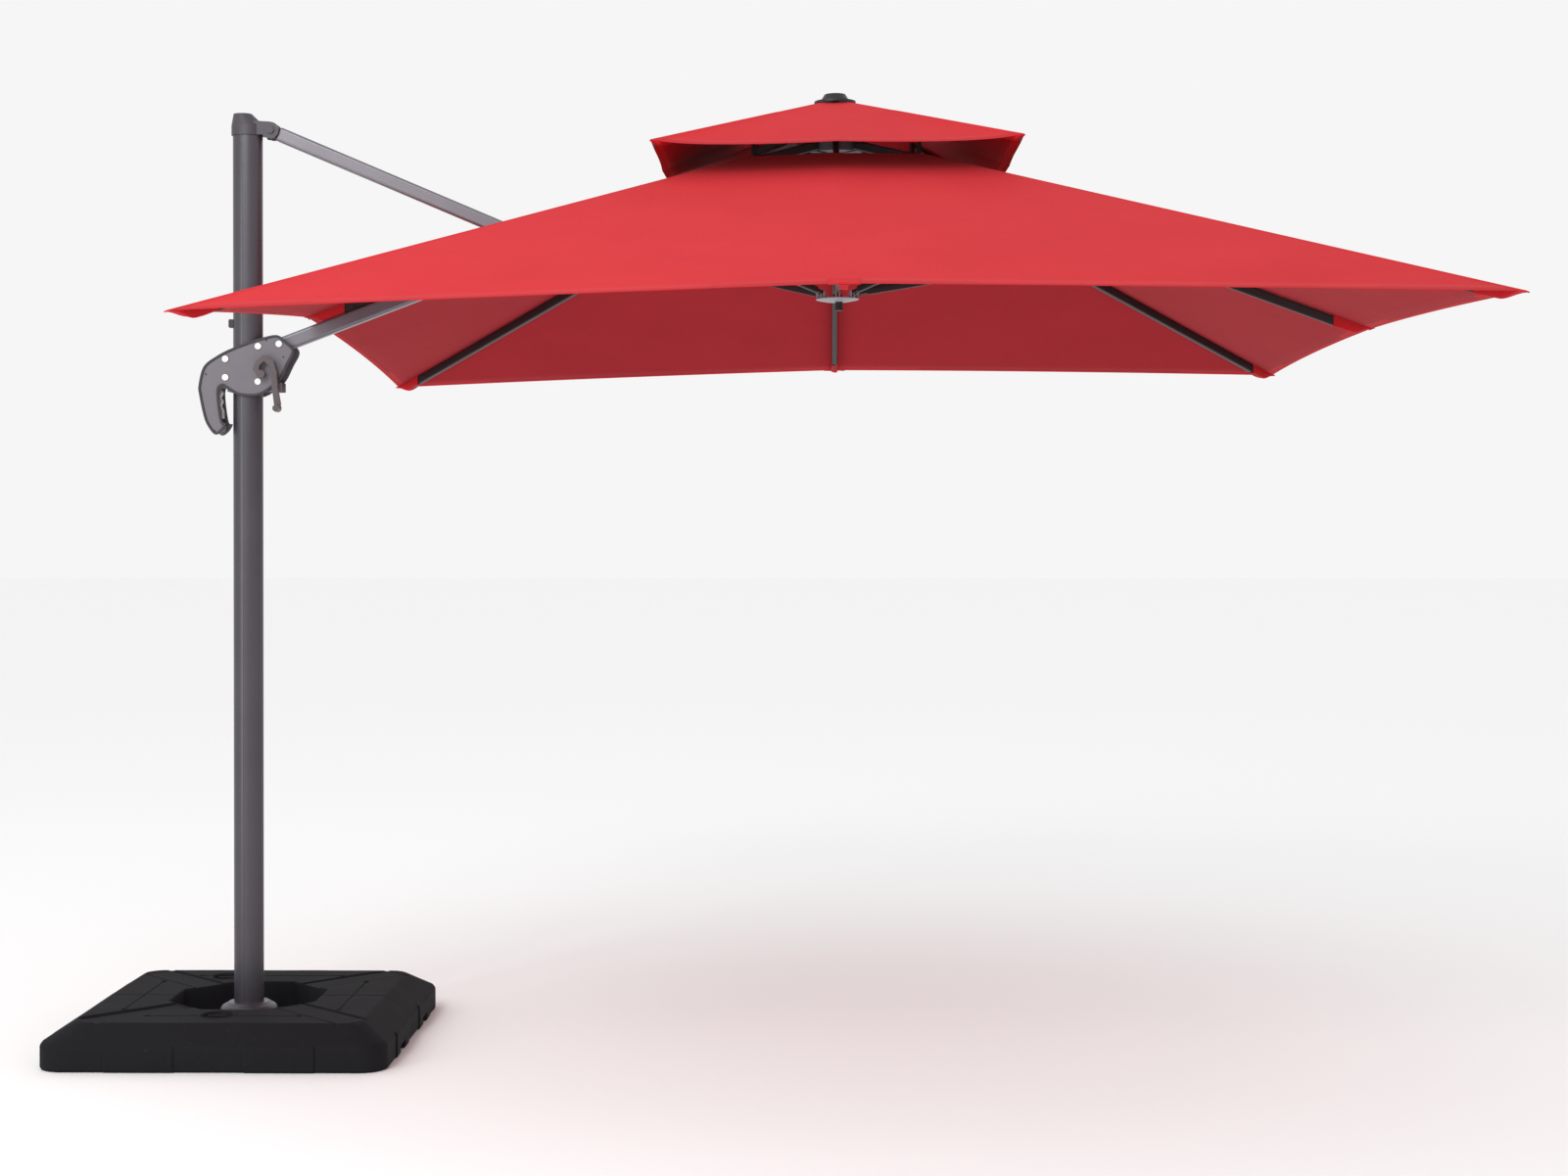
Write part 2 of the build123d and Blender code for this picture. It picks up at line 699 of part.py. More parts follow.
# ---------------------------------------------------------------- crown and canopy frame
cheek_y = tip_width / 2 + 0.4
with BuildPart() as crown:
    with BuildSketch(hub_level(-56)):
        Circle(76)
        with Locations((-30, 0)):
            Rectangle(110, 48, mode=Mode.SUBTRACT)
        with PolarLocations(62, 8):
            Rectangle(48, rib_width + 1, mode=Mode.SUBTRACT)
    extrude(amount=39)
    with BuildSketch(hub_level(-17)):
        Circle(76)
        with Locations((-30, 0)):
            Rectangle(110, 48, mode=Mode.SUBTRACT)
    extrude(amount=6)
    for side in (-1, 1):
        with BuildSketch(hub_level(-56)):
            with Locations((0, side * (24 + 4))):
                Rectangle(44, 8)
        extrude(amount=34 + 48)
    # Bridge above the boom's tip
    with BuildSketch(hub_level(20)):
        Rectangle(44, 64)
    extrude(amount=8)
    # Holes of the rib hinge pins
    for angle in rib_names:
        with BuildSketch(radial_plane(angle)):
            with Locations((hub_pin_r, rib_line(angle, hub_pin_r))):
                Circle(hinge_r)
        extrude(amount=rib_width / 2 + 4, both=True, mode=Mode.SUBTRACT)
    with BuildSketch(Plane(origin=hub_plane.origin, x_dir=hub_plane.x_dir,
                           z_dir=(0, -1, 0))):
        Circle(6)
    extrude(amount=40, both=True, mode=Mode.SUBTRACT)
save(crown, "crown")

with BuildPart() as crown_pin:
    with BuildSketch(Plane(origin=hub_plane.origin, x_dir=hub_plane.x_dir,
                           z_dir=(0, -1, 0))):
        Circle(6)
    extrude(amount=33, both=True)
    for side in (-1, 1):
        with BuildSketch(Plane(origin=hub_plane.origin + Vector(0, side * (cheek_y + 4.6), 0),
                               x_dir=hub_plane.x_dir, z_dir=(0, -1, 0))):
            Circle(11)
            Circle(6.05, mode=Mode.SUBTRACT)
        extrude(amount=4, both=True)
save(crown_pin, "crown_pin")

apex_w = 84
with BuildPart() as finial_cap:
    with BuildSketch(hub_level(28)):
        Circle(12)
    extrude(amount=apex_w - 28)
    with BuildSketch(hub_level(apex_w)):
        Circle(58.5)
    extrude(amount=6)
    with BuildSketch(hub_level(apex_w + 6)):
        Circle(42)
    extrude(amount=20, taper=32)
save(finial_cap, "finial_cap")

with BuildPart() as rib_hinge_pins:
    for angle in rib_names:
        with BuildSketch(radial_plane(angle)):
            with Locations((hub_pin_r, rib_line(angle, hub_pin_r))):
                Circle(hinge_r)
        extrude(amount=rib_width / 2 + 4, both=True)
save(rib_hinge_pins, "rib_hinge_pins")

edge_inset = 72
corner_inset = 56
rib_heel = 10
post_r = 318
tang_length = 26
tang_half = 3.5
joints = {}
for angle, name in rib_names.items():
    pitch = radians(pitch_of(angle))
    plane = radial_plane(angle)
    if angle in corner_angles:
        reach = (canopy_side / 2 - corner_inset) * 2**0.5
    else:
        reach = canopy_side / 2 - edge_inset
    length = (reach - hub_pin_r) / cos(pitch) + rib_heel
    out = plane.x_dir * cos(pitch) - plane.y_dir * sin(pitch)
    up = plane.x_dir * sin(pitch) + plane.y_dir * cos(pitch)
    pivot_w = rib_line(angle, hub_pin_r)
    pivot = plane.from_local_coords(Vector(hub_pin_r, pivot_w, 0))
    lane = Plane(origin=pivot - out * rib_heel, x_dir=up, z_dir=out)
    at = stretcher_at
    clip_r = hub_pin_r + at * cos(pitch) - stretcher_drop * sin(pitch)
    clip_w = pivot_w - at * sin(pitch) - stretcher_drop * cos(pitch)
    rise = atan2(clip_w - runner_pin_w, clip_r - runner_pin_r)
    joints[angle] = (pivot, clip_r, clip_w, rise)
    with BuildPart() as rib:
        add(box_tube(lane, length, rib_depth, rib_width, rib_wall, 4))
        with BuildSketch(plane):
            with Locations((hub_pin_r, pivot_w)):
                Circle(hinge_r + 0.05)
        extrude(amount=rib_width, both=True, mode=Mode.SUBTRACT)
        # Riveted clip that holds the stretcher's outer end
        low = Vector(clip_r, clip_w)
        along = Vector(cos(pitch), -sin(pitch))
        above = Vector(sin(pitch), cos(pitch))
        corners = [low - along * 18 + above * (stretcher_drop + 6),
                   low + along * 18 + above * (stretcher_drop + 6),
                   low + along * 8 - above * 6, low - along * 8 - above * 6]
        for side in (-1, 1):
            with BuildSketch(plane.offset(side * (rib_width / 2 + 1))):
                with BuildLine():
                    Polyline(*[(c.X, c.Y) for c in corners], close=True)
                make_face()
            extrude(amount=1, both=True)
        with BuildSketch(plane):
            with Locations((clip_r, clip_w)):
                Circle(hinge_r)
        extrude(amount=rib_width / 2 + 2, both=True)
        # Corner ribs carry a post and an arm for the vent canopy
        if angle in corner_angles:
            foot = rib_line(angle, post_r) + rib_depth / 2
            with BuildSketch(plane):
                with Locations((post_r, foot + 49)):
                    Rectangle(12, 100)
                with BuildLine():
                    Polyline((post_r - 4, foot + 100), (post_r - 4, foot + 90),
                             (vent_side / 2 * 2**0.5 - 14, vent_corner_w - 14),
                             (vent_side / 2 * 2**0.5 - 14, vent_corner_w - 6),
                             close=True)
                make_face()
            extrude(amount=4, both=True)
    save(rib, f"rib_{name}")

    clip = plane.from_local_coords(Vector(clip_r, clip_w, 0))
    inner = plane.from_local_coords(Vector(runner_pin_r, runner_pin_w, 0))
    way = (clip - inner).normalized()
    normal = plane.z_dir.cross(way)
    span = (clip - inner).length
    with BuildPart() as stretcher:
        lane = Plane(origin=inner + way * tang_length, x_dir=normal, z_dir=way)
        add(box_tube(lane, span + 6 - tang_length, stretcher_depth, stretcher_width,
                     rib_wall, 3))
        # Flat tang that narrows the inner end, so that the bars pass each other
        with BuildSketch(plane):
            with BuildLine():
                tang = [inner - way * 4 - normal * 4, inner - way * 4 + normal * 4,
                        inner + way * (tang_length + 14) + normal * 4,
                        inner + way * (tang_length + 14) - normal * 4]
                Polyline(*[tuple(plane.to_local_coords(c))[:2] for c in tang], close=True)
            make_face()
        extrude(amount=tang_half, both=True)
        with BuildSketch(Plane(origin=inner + way * tang_length, x_dir=normal, z_dir=way)):
            Rectangle(stretcher_depth - 2 * rib_wall, stretcher_width - 2 * rib_wall)
        extrude(amount=6)
        with BuildSketch(plane):
            with Locations((clip_r, clip_w)):
                Circle(hinge_r + 0.05)
        extrude(amount=rib_width, both=True, mode=Mode.SUBTRACT)
        with BuildSketch(plane):
            with Locations((runner_pin_r, runner_pin_w)):
                Circle(hinge_r)
        extrude(amount=tang_half + 1.5, both=True)
    save(stretcher, f"stretcher_{name}")

with BuildPart() as runner:
    with BuildSketch(hub_level(runner_pin_w - 24)):
        Circle(61)
    extrude(amount=10, taper=-12)
    with BuildSketch(hub_level(runner_pin_w - 14)):
        Circle(8)
    extrude(amount=64)
save(runner, "runner")

with BuildPart() as runner_knob:
    with BuildSketch(hub_level(runner_pin_w - 48)):
        with Locations((4, 0)):
            Circle(10.5)
    extrude(amount=24)
save(runner_knob, "runner_knob")

# ---------------------------------------------------------------- canopy fabric
half = canopy_side / 2
open_half = vent_opening / 2
boom_rise = boom_depth / 2 + rib_depth + fabric + 2.5


def boom_side_surface(r):
    """Height of the fabric above the rib that lies on the boom, in the hub's frame."""
    world = Vector(hub_x - r, 0, boom_line(hub_x - r) + boom_rise / cos(radians(boom_slope)))
    return hub_plane.to_local_coords(world).Z


def side_surface(angle, r):
    if angle == 180:
        return boom_side_surface(r)
    return -r * tan(radians(rib_pitch))


def gore_points(angle, near, far, lift):
    """Inner and outer edge points of the half gore between a side and its next corner."""
    def spot(a, r, w):
        return hub_point(r * cos(radians(a)), r * sin(radians(a)), w)

    side = angle if angle % 90 == 0 else angle + 45
    corner = angle + 45 if angle % 90 == 0 else angle
    corner_inner = -near * 2**0.5 * tan(radians(corner_pitch))
    corner_outer = -far * 2**0.5 * tan(radians(corner_pitch))
    return [spot(side, near, side_surface(side % 360, near) + lift),
            spot(side, far, side_surface(side % 360, far) + lift),
            spot(corner, far * 2**0.5, corner_outer + lift),
            spot(corner, near * 2**0.5, corner_inner + lift)]


def gore(points, thick):
    """Two flat triangles of cloth with one thickness, hung from the points."""
    down = hub_plane.z_dir * -thick
    a, b, c, d = points
    for corners in ((a, b, c), (a, c, d)):
        low = [p + down for p in corners]
        faces = [Face(Wire.make_polygon([*corners], close=True)),
                 Face(Wire.make_polygon([*low], close=True))]
        for i in range(3):
            j = (i + 1) % 3
            faces.append(Face(Wire.make_polygon(
                [corners[i], corners[j], low[j], low[i]], close=True)))
        add(Solid(Shell(faces)))


with BuildPart() as canopy_main:
    for step in range(8):
        gore(gore_points(step * 45, open_half, half, 0), fabric)
    # Slot for the strut and its elbow
    with BuildSketch(Plane.XY.offset(2100)):
        with Locations((elbow_x - 5, 0)):
            Rectangle(190, 84)
    extrude(amount=300, mode=Mode.SUBTRACT)
save(canopy_main, "canopy_main")

def vent_points(step):
    """Corner points of one vent panel, from the flange under the finial to the edge."""
    angle = step * 45
    a = angle if angle % 90 == 0 else angle + 45
    b = angle + 45 if angle % 90 == 0 else angle
    edge = vent_side / 2
    tip = 40

    def spot(turn, r, w):
        return hub_point(r * cos(radians(turn)), r * sin(radians(turn)), w)

    return [spot(a, tip, apex_w - 2), spot(a, edge, vent_edge_w),
            spot(b, edge * 2**0.5, vent_corner_w), spot(b, tip, apex_w - 2)]


with BuildPart() as canopy_vent:
    for step in range(8):
        gore(vent_points(step), fabric)
save(canopy_vent, "canopy_vent")
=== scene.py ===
"""Square cantilever patio umbrella: cloth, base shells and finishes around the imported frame."""
import json
from math import cos, hypot, pi, radians, sin, sqrt, tan

import bmesh
import bpy
from mathutils import Matrix, Vector, noise


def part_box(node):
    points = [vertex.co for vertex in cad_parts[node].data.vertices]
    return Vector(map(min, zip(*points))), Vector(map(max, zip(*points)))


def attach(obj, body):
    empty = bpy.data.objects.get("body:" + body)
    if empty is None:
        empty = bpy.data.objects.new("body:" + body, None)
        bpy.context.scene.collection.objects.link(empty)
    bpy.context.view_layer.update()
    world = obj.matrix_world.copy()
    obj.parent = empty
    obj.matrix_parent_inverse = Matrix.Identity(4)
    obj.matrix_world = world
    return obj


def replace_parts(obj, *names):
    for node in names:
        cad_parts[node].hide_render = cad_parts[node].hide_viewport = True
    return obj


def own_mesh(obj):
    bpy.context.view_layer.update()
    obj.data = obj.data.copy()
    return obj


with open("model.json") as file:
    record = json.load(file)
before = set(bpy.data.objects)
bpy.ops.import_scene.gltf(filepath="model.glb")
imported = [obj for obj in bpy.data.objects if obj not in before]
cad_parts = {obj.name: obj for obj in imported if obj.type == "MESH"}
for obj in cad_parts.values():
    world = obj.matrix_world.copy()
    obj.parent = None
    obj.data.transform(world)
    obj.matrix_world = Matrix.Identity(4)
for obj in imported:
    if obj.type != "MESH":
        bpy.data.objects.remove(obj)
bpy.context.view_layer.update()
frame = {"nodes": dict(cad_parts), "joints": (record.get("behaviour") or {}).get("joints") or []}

MM = 0.001

# ------------------------------------------------------------------ places taken from the frame
tank_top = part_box("base_tank_front")[1][2]
hub = Vector(next(j for j in frame["joints"] if j["name"] == "hub_tilt")["pos_m"])
tilt = radians(0.75)    # the crown leans this much towards the mast when the canopy is open
hub_x_dir = Vector((cos(tilt), 0, sin(tilt)))
hub_y_dir = Vector((0, 1, 0))
hub_up = Vector((-sin(tilt), 0, cos(tilt)))


def in_hub(x, y, w):
    """A point given in the tilted frame of the crown, in the row frame."""
    return hub + hub_x_dir * x + hub_y_dir * y + hub_up * w


def rib_ways(angle):
    """The way out along a rib, in plan, and the way across it."""
    out = hub_x_dir * cos(radians(angle)) + hub_y_dir * sin(radians(angle))
    side = hub_y_dir * cos(radians(angle)) - hub_x_dir * sin(radians(angle))
    return out, side


# ------------------------------------------------------------------ small tools
def linear(hex_colour):
    """An sRGB hex colour as linear RGBA."""
    parts = [int(hex_colour[i:i + 2], 16) / 255 for i in (1, 3, 5)]
    return [c / 12.92 if c <= 0.04045 else ((c + 0.055) / 1.055) ** 2.4 for c in parts] + [1]


def mesh_piece(name, points, faces, material, smooth=True):
    """A new mesh object from points and faces, in the row frame."""
    data = bpy.data.meshes.new(name)
    data.from_pydata([tuple(p) for p in points], [], faces)
    data.update()
    piece = bpy.data.objects.new(name, data)
    bpy.context.scene.collection.objects.link(piece)
    if material:
        data.materials.append(material)
    if smooth:
        data.shade_smooth()
    return piece


def apply_modifiers(piece):
    """Turn a piece's modifiers into plain mesh."""
    graph = bpy.context.evaluated_depsgraph_get()
    graph.update()
    finished = bpy.data.meshes.new_from_object(piece.evaluated_get(graph))
    piece.modifiers.clear()
    piece.data = finished


def grid_faces(rows, columns, wrap=False):
    """Quads of a grid of rows by columns points, closed round the columns if wrap."""
    faces = []
    for i in range(rows - 1):
        for j in range(columns if wrap else columns - 1):
            k = (j + 1) % columns
            faces.append((i * columns + j, i * columns + k,
                          (i + 1) * columns + k, (i + 1) * columns + j))
    return faces


def step(x, edge, soft):
    """Rises smoothly from 0 to 1 as x passes the edge."""
    t = min(1.0, max(0.0, (x - edge) / soft + 0.5))
    return t * t * (3 - 2 * t)


# ------------------------------------------------------------------ materials
def add(tree, kind, settings=None, links=None):
    """One shader node with its settings and links: input name or index to output socket."""
    node = tree.nodes.new(kind)
    for key, value in (settings or {}).items():
        if hasattr(node, key) and not key[0].isupper():
            setattr(node, key, value)
        else:
            node.inputs[key].default_value = value
    for key, socket in (links or {}).items():
        tree.links.new(socket, node.inputs[key])
    return node


def new_material(name, base, roughness, metallic=0.0, ior=1.5, **extra):
    """A material whose Principled shader has these constants. Returns it with its tree and shader."""
    material = bpy.data.materials.new(name)
    material.use_nodes = True
    tree = material.node_tree
    shader = tree.nodes["Principled BSDF"]
    shader.inputs["Base Color"].default_value = linear(base)
    shader.inputs["Roughness"].default_value = roughness
    shader.inputs["Metallic"].default_value = metallic
    shader.inputs["IOR"].default_value = ior
    for key, value in extra.items():
        shader.inputs[key.replace("_", " ").title().replace("Ior", "IOR")].default_value = value
    material.diffuse_color = linear(base)
    return material, tree, shader


def varied_colour(tree, shader, dark, light, grain_mm, detail=4.0):
    """Base colour that wanders between two tones at a real grain size."""
    place = add(tree, "ShaderNodeTexCoord")
    cloud = add(tree, "ShaderNodeTexNoise", {"Scale": 1000 / grain_mm, "Detail": detail},
                {"Vector": place.outputs["Object"]})
    ramp = add(tree, "ShaderNodeMix", {"data_type": "RGBA"}, {0: cloud.outputs["Fac"]})
    ramp.inputs[6].default_value = linear(dark)
    ramp.inputs[7].default_value = linear(light)
    tree.links.new(ramp.outputs[2], shader.inputs["Base Color"])
    return place


def grain_bump(tree, shader, place, grain_mm, height_mm, strength=0.5):
    """Fine surface grain, as left by a textured mould or a powder coat."""
    fine = add(tree, "ShaderNodeTexNoise", {"Scale": 1000 / grain_mm, "Detail": 2.0},
               {"Vector": place.outputs["Object"]})
    bump = add(tree, "ShaderNodeBump", {"Strength": strength, "Distance": height_mm * MM},
               {"Height": fine.outputs["Fac"]})
    tree.links.new(bump.outputs["Normal"], shader.inputs["Normal"])
    return bump


def woven_polyester(name, dark, light, sheen):
    """Plain-woven polyester canopy cloth: matt, with a fine square weave and a soft sheen."""
    material, tree, shader = new_material(name, light, 0.9, sheen_weight=sheen,
                                          sheen_roughness=0.4, specular_ior_level=0.18)
    place = varied_colour(tree, shader, dark, light, 260)
    thread = 2.4   # millimetres, coarser than the real thread so that the weave shows
    weave = []
    for axis in ("X", "Y"):
        weave.append(add(tree, "ShaderNodeTexWave",
                         {"bands_direction": axis, "Scale": 1000 / thread / 20, "Distortion": 0.4},
                         {"Vector": place.outputs["Object"]}))
    both = add(tree, "ShaderNodeMath", {"operation": "MULTIPLY"},
               {0: weave[0].outputs["Fac"], 1: weave[1].outputs["Fac"]})
    bump = add(tree, "ShaderNodeBump", {"Strength": 0.25, "Distance": 0.4 * MM},
               {"Height": both.outputs[0]})
    creases = add(tree, "ShaderNodeTexNoise", {"Scale": 7.0, "Detail": 3.0, "Roughness": 0.6},
                  {"Vector": place.outputs["Object"]})
    soft = add(tree, "ShaderNodeBump", {"Strength": 0.35, "Distance": 6 * MM},
               {"Height": creases.outputs["Fac"], "Normal": bump.outputs["Normal"]})
    tree.links.new(soft.outputs["Normal"], shader.inputs["Normal"])
    return material


def coated_metal(name, dark, light, roughness, metallic=0.0, coat=0.0):
    """Powder-coated metal: satin, with a faint orange-peel skin."""
    material, tree, shader = new_material(name, light, roughness, metallic, coat_weight=coat,
                                          coat_roughness=0.25)
    place = varied_colour(tree, shader, dark, light, 120)
    grain_bump(tree, shader, place, 1.6, 0.12, 0.25)
    return material


def moulded_plastic(name, dark, light, roughness, grain_mm=2.0, height_mm=0.15, strength=0.3):
    """Moulded plastic with a fine spark-eroded grain."""
    material, tree, shader = new_material(name, light, roughness, ior=1.5)
    place = varied_colour(tree, shader, dark, light, 90)
    grain_bump(tree, shader, place, grain_mm, height_mm, strength)
    return material


def blow_moulded_polyethylene():
    """Blow-moulded tank plastic: waxy, fine pebble grain, scuffed paler in patches."""
    material, tree, shader = new_material("base_polyethylene_blow_moulded", "#1F1F23", 0.66,
                                          ior=1.51, specular_ior_level=0.12)
    place = add(tree, "ShaderNodeTexCoord")
    patches = add(tree, "ShaderNodeTexNoise", {"Scale": 9.0, "Detail": 6.0, "Roughness": 0.65},
                  {"Vector": place.outputs["Object"]})
    tone = add(tree, "ShaderNodeMix", {"data_type": "RGBA"}, {0: patches.outputs["Fac"]})
    tone.inputs[6].default_value = linear("#121215")
    tone.inputs[7].default_value = linear("#1E1D21")
    scuffs = add(tree, "ShaderNodeTexNoise", {"Scale": 60.0, "Detail": 8.0, "Roughness": 0.75},
                 {"Vector": place.outputs["Object"]})
    cut = add(tree, "ShaderNodeMapRange", {"From Min": 0.60, "From Max": 0.78},
              {"Value": scuffs.outputs["Fac"]})
    worn = add(tree, "ShaderNodeMix", {"data_type": "RGBA"},
               {0: cut.outputs["Result"], 6: tone.outputs[2]})
    worn.inputs[7].default_value = linear("#313036")
    tree.links.new(worn.outputs[2], shader.inputs["Base Color"])
    rough = add(tree, "ShaderNodeMapRange", {"To Min": 0.7, "To Max": 0.9},
                {"Value": patches.outputs["Fac"]})
    tree.links.new(rough.outputs["Result"], shader.inputs["Roughness"])
    grain_bump(tree, shader, place, 1.8, 0.25, 0.35)
    return material


def plated_steel():
    """Zinc-plated steel fasteners: bright grey with fine turned marks."""
    material, tree, shader = new_material("fasteners_zinc_plated_steel", "#A9A9AD", 0.32, 1.0)
    place = varied_colour(tree, shader, "#8F8F93", "#B9B9BD", 12)
    grain_bump(tree, shader, place, 0.9, 0.06, 0.2)
    return material


cloth_out = woven_polyester("canopy_polyester_woven_outside", "#BE2229", "#CB2A31", 0.03)
# The inside cloth is a darker copy of the outside cloth: painted shade under the canopy.
cloth_in_painted_shade = woven_polyester("canopy_polyester_woven_inside_painted_shade", "#9A1A23", "#A51F29", 0.02)
hem_cloth = woven_polyester("hem_polyester_folded_double", "#B21E26", "#BE252C", 0.03)
pocket_cloth = woven_polyester("pocket_polyester_sewn", "#B81E26", "#C6262D", 0.03)
mast_coat = coated_metal("mast_aluminium_powder_coated", "#3E3B42", "#4A474E", 0.34, 0.45, 0.25)
# The arms' coat is a lighter grey than the mast's: painted reflection of the bright surroundings on
# their flat faces.
arm_coat_painted_reflection = coated_metal("arms_aluminium_powder_coated_painted_reflection", "#66636A", "#757279", 0.36, 0.5, 0.2)
casting = coated_metal("castings_aluminium_powder_coated", "#3A373D", "#46434A", 0.45, 0.2)
rib_coat = coated_metal("ribs_steel_powder_coated", "#1E1A1C", "#2A2628", 0.42, 0.2)
housing = moulded_plastic("housing_abs_spark_textured", "#5C585F", "#6A666D", 0.5)
housing_rim = moulded_plastic("housing_rim_abs_textured", "#1F1C21", "#29262B", 0.5)
nylon = moulded_plastic("nylon_moulded_black", "#0E0E10", "#171719", 0.45)
runner_grey = moulded_plastic("runner_abs_moulded_grey", "#8E8E93", "#A3A3A8", 0.45)
white_caps = moulded_plastic("caps_acetal_moulded_white", "#D8D8D4", "#E8E8E4", 0.35)
collar_grey = moulded_plastic("collar_polypropylene_moulded", "#302E33", "#3B393F", 0.34)
tank_plastic = blow_moulded_polyethylene()
foot_coat = coated_metal("foot_steel_powder_coated", "#222023", "#2C2A2E", 0.5, 0.2)
pedal_coat = coated_metal("pedal_steel_coated_grey", "#8C8A8E", "#A4A2A6", 0.45, 0.3)
zinc = plated_steel()
lever_metal = coated_metal("lever_aluminium_die_cast", "#A2A2A6", "#BDBDC1", 0.4, 0.25)
crank_coat = coated_metal("crank_steel_powder_coated", "#453C3E", "#554B4D", 0.4, 0.25, 0.1)

FINISHES = {
    mast_coat: ["mast_tube"],
    arm_coat_painted_reflection: ["strut_tube", "boom_tube"],
    casting: ["strut_pivot_bolt", "mast_cap", "crown", "strut_fork", "elbow_bracket", "boom_tip",
              "strut_top_eye", "boom_root_plug"],
    rib_coat: ["boom_side_rib", "rib_straps"],
    housing: ["slider_shell_front", "slider_shell_back", "slider_carriage", "grip_core"],
    nylon: ["guide_rollers", "swivel_sleeve", "stop_lug", "runner_knob", "rope_drum",
            "finial_cap"],
    runner_grey: ["runner"],
    white_caps: ["shell_fasteners"],
    collar_grey: ["mast_foot_collar"],
    tank_plastic: ["base_tank_front", "base_tank_back", "fill_caps"],
    foot_coat: ["cross_frame", "socket_flange", "pedal_bracket"],
    pedal_coat: ["foot_pedal"],
    zinc: ["flange_bolts", "elbow_pin_bolt", "slider_pins", "crown_pin",
           "rib_hinge_pins", "crank_shaft"],
    lever_metal: ["release_lever", "lock_pawl"],
    crank_coat: ["crank_arm", "crank_knob"],
}
ribs_and_braces = [n for n in frame["nodes"] if n.startswith(("rib_", "stretcher_"))]
FINISHES[rib_coat] += [n for n in ribs_and_braces if n not in ("rib_hinge_pins", "rib_straps")]

for material, nodes in FINISHES.items():
    for node in nodes:
        for place in bpy.data.objects[node].material_slots:
            place.material = material

# ------------------------------------------------------------------ canopy cloth
# The cloth is one sheet, cut into the part that each rib carries, so that it can fold.
SQUARE = 1.5          # half the side of the canopy
OPENING = 0.235       # half the side of the opening under the vent
SIDE_SLOPE = tan(radians(20.8))
CORNER_SLOPE = tan(radians(16.0)) * sqrt(2)
RIBS = {0: "rib_outer", 45: "rib_outer_back", 90: "rib_back", 135: "rib_mast_back",
        180: "boom", 225: "rib_mast_front", 270: "rib_front", 315: "rib_outer_front"}
BOOM_SLOPE = tan(radians(20.8))
BOOM_COVER = 0.0515 / cos(radians(20.8))
CLOTH = 0.0012
WELT = 0.0006         # how far a sewn seam stands up
HEM = 0.024           # width of the folded hem


def side_height(angle, r):
    """Height of the cloth over a side rib, in the crown's frame."""
    if angle % 360 != 180:
        return -r * SIDE_SLOPE
    over_boom = Vector((hub.x - r, 0, hub.z - r * BOOM_SLOPE + BOOM_COVER)) - hub
    return over_boom.dot(hub_up)


def sag(u, v, depth):
    """How far the cloth hangs between two ribs."""
    return depth * 4 * v * (1 - v) * u


def cloth_point(side, u, v, reach, height, depth, scallop):
    """Point of the sheet: u runs out from the middle, v from the side rib (0) to the corner (1).

    v is negative on the clockwise half of the same side."""
    way = 1 if v >= 0 else -1
    a = abs(v)
    edge = max(0.0, (u / reach - 0.75) / 0.25)
    pull = 1 - scallop / reach * 4 * a * (1 - a) * edge**3
    x = u * pull
    y = way * u * a * pull
    w = height(side, x) * (1 - a) + (-CORNER_SLOPE * x) * a - sag(u / reach, a, depth)
    c, s = cos(radians(side)), sin(radians(side))
    return in_hub(x * c - y * s, x * s + y * c, w)


def main_point(side, u, v):
    return cloth_point(side, u, v, SQUARE, side_height, 0.003, 0.014)


def columns_at(u, count, seam):
    """Where the sheet's points lie beside a rib line: across as a share of u, and their welt."""
    across_seam = [(0.0, seam), (0.004 / u, seam), (0.0056 / u, 0.0)]
    return across_seam + [(0.5 * j / count, 0.0) for j in range(1, count + 1)]


def panel(name, angle, rings, columns, reach, start, spot):
    """The part of a sheet that one rib carries, from its seam half way to the next ribs."""
    rows = [start + (reach - HEM - start) * i / rings for i in range(rings + 1)]
    rows += [reach - HEM + 0.0012, reach - HEM / 2, reach]
    points = []
    for i, u in enumerate(rows):
        hem = WELT if i > rings else 0.0
        seam = WELT if angle % 90 else 0.0
        row = [(v, max(welt, hem)) for v, welt in columns_at(u, columns, seam)]
        if angle % 90 == 0:
            left = [spot(angle, u, -v) + hub_up * up for v, up in reversed(row[1:])]
            right = [spot(angle, u, v) + hub_up * up for v, up in row]
        else:
            left = [spot(angle - 45, u, 1 - v) + hub_up * up for v, up in reversed(row[1:])]
            right = [spot(angle + 45, u, v - 1) + hub_up * up for v, up in row]
        points += left + right
    wide = 2 * (columns + 2) + 1
    return mesh_piece(name, points, grid_faces(len(rows), wide), cloth_out)


def open_slot(piece, x_low, x_high, half_wide):
    """Cut the slot that the strut passes through, in the part on the boom's side."""
    data = bmesh.new()
    data.from_mesh(piece.data)
    cut = [f for f in data.faces
           if x_low < f.calc_center_median().x < x_high
           and abs(f.calc_center_median().y) < half_wide]
    bmesh.ops.delete(data, geom=cut, context="FACES")
    data.to_mesh(piece.data)
    data.free()


def thicken(piece, inside):
    """Give a sheet its thickness, with the inside face in a darker copy of the cloth: painted shade
    under the canopy.
    """
    piece.data.materials.append(inside)
    solid = piece.modifiers.new("thickness", "SOLIDIFY")
    solid.thickness = CLOTH
    solid.offset = -1
    solid.material_offset = 1
    solid.material_offset_rim = 0
    apply_modifiers(piece)
    piece.data.set_sharp_from_angle(angle=radians(35))


def double_cloth(piece, offset):
    """Give a small sewn piece its thickness, outwards (1) or inwards (-1)."""
    solid = piece.modifiers.new("thickness", "SOLIDIFY")
    solid.thickness = CLOTH
    solid.offset = offset
    apply_modifiers(piece)
    piece.data.set_sharp_from_angle(angle=radians(50))


def face_up(piece):
    """Turn the sheet's faces so that they look away from the ground."""
    up = sum(f.normal.z for f in piece.data.polygons)
    if up < 0:
        piece.data.flip_normals()


